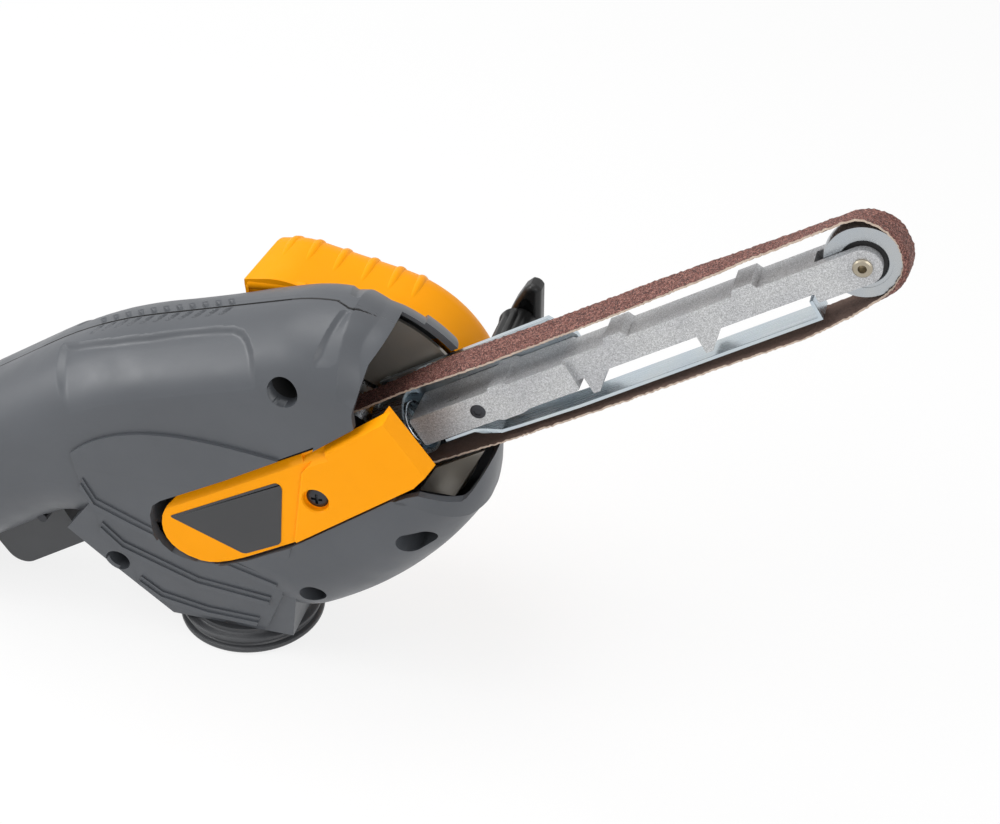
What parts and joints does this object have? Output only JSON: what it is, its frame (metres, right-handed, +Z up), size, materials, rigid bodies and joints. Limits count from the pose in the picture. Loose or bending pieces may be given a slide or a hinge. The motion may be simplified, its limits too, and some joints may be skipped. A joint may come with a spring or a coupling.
{
  "type": "hand-held belt file sander",
  "caption": "Electric belt file: a narrow abrasive belt runs round a spring-tensioned arm in front of a motor grip with trigger, side handle and dust outlet.",
  "frame": {"origin": "centre of the dust port's mouth, on the surface the tool rests on", "axes": "+X from the grip to the belt's nose, +Y to the tool's left (side handle), +Z up out of the dust port"},
  "size_m": [0.4219, 0.0935, 0.2195],
  "materials": {
    "grey_plastic": "satin moulded",
    "yellow_plastic": "satin moulded",
    "dark_plastic": "satin moulded",
    "black_plastic": "satin moulded",
    "black_rubber": "matte",
    "label_film": "satin film",
    "screw_steel": "black oxide",
    "cast_metal": "sparkling metallic coat",
    "zinc_steel": "bright zinc",
    "bearing_steel": "ground",
    "axle_brass": "yellow zinc",
    "pulley_rubber": "moulded",
    "abrasive_cloth": "coated grit on cloth",
    "core_iron": "laminated",
    "copper": "enamelled copper",
    "carbon": "pressed carbon"
  },
  "bodies": {
    "housing": {"housing_right": "grey_plastic", "housing_left": "grey_plastic", "housing_screws": "screw_steel", "belt_cover": "yellow_plastic", "belt_cover_screw": "screw_steel", "label_plate": "label_film", "side_handle": "yellow_plastic", "side_handle_screws": "screw_steel", "dust_port": "dark_plastic", "gear_case": "cast_metal", "gear_case_screws": "screw_steel", "head_shield": "zinc_steel", "spindle_bearing_inner": "bearing_steel", "spindle_bearing_outer": "bearing_steel", "arm_holder": "zinc_steel", "arm_holder_screws": "screw_steel", "tension_spring": "bearing_steel", "sanding_belt": "abrasive_cloth", "motor_stator": "core_iron", "field_windings": "copper", "brush_holder_right": "axle_brass", "brush_holder_left": "axle_brass", "carbon_brush_right": "carbon", "carbon_brush_left": "carbon", "motor_bearing_front": "bearing_steel", "motor_bearing_rear": "bearing_steel", "trigger_pin": "bearing_steel", "switch_body": "dark_plastic", "speed_module": "dark_plastic", "cord_gland": "black_rubber"},
    "arm": {"arm": "cast_metal", "platen": "zinc_steel", "platen_rivet": "zinc_steel", "nose_axle": "axle_brass"},
    "roller": {"nose_roller": "bearing_steel", "roller_bearing": "bearing_steel"},
    "knob": {"wing_knob": "black_plastic", "clamp_screw": "bearing_steel"},
    "drive": {"spindle": "bearing_steel", "drive_pulley": "pulley_rubber", "pulley_cap": "screw_steel", "bevel_gear": "bearing_steel"},
    "rotor": {"bevel_pinion": "bearing_steel", "motor_shaft": "bearing_steel", "armature_core": "core_iron", "armature_windings": "copper", "commutator": "copper", "cooling_fan": "dark_plastic"},
    "trigger": {"trigger": "dark_plastic"},
    "lock": {"lock_button": "dark_plastic"},
    "dial": {"speed_wheel": "dark_plastic"}
  },
  "joints": [
    {"name": "arm_slide", "type": "slide", "parent": "housing", "child": "arm", "axis": [0.845, 0, 0.5348], "range_m": [-0.006, 0], "stiffness_N_per_m": 1500, "springref_m": 0.008, "deforming": ["tension_spring"]},
    {"name": "roller_spin", "type": "hinge", "parent": "arm", "child": "roller", "pos_m": [0.2259, 0, 0.20466], "axis": [0, 1, 0], "continuous": true},
    {"name": "knob_turn", "type": "hinge", "parent": "arm", "child": "knob", "pos_m": [0.0978, 0, 0.12358], "axis": [0, 1, 0], "range_deg": [-40, 45]},
    {"name": "rotor_spin", "type": "hinge", "parent": "housing", "child": "rotor", "pos_m": [0.04, 0, 0.087], "axis": [0.9962, 0, 0.0872], "continuous": true},
    {"name": "drive_spin", "type": "hinge", "parent": "housing", "child": "drive", "pos_m": [0.04, 0, 0.087], "axis": [0, 1, 0], "continuous": true},
    {"name": "trigger_pull", "type": "hinge", "parent": "housing", "child": "trigger", "pos_m": [-0.07947, 0, 0.04245], "axis": [0, 1, 0], "range_deg": [0, 6], "stiffness_Nm_per_rad": 0.6, "springref_deg": -3.44},
    {"name": "lock_push", "type": "slide", "parent": "housing", "child": "lock", "axis": [0, -1, 0], "range_m": [0, 0.0025], "stiffness_N_per_m": 400, "springref_m": -0.001},
    {"name": "dial_turn", "type": "hinge", "parent": "housing", "child": "dial", "pos_m": [-0.15925, 0, 0.05146], "axis": [0, 1, 0], "range_deg": [-135, 135]}
  ],
  "couplings": [
    {"joint": "drive_spin", "follows": "rotor_spin", "ratio": 0.5},
    {"joint": "roller_spin", "follows": "rotor_spin", "ratio": 0.53704}
  ]
}
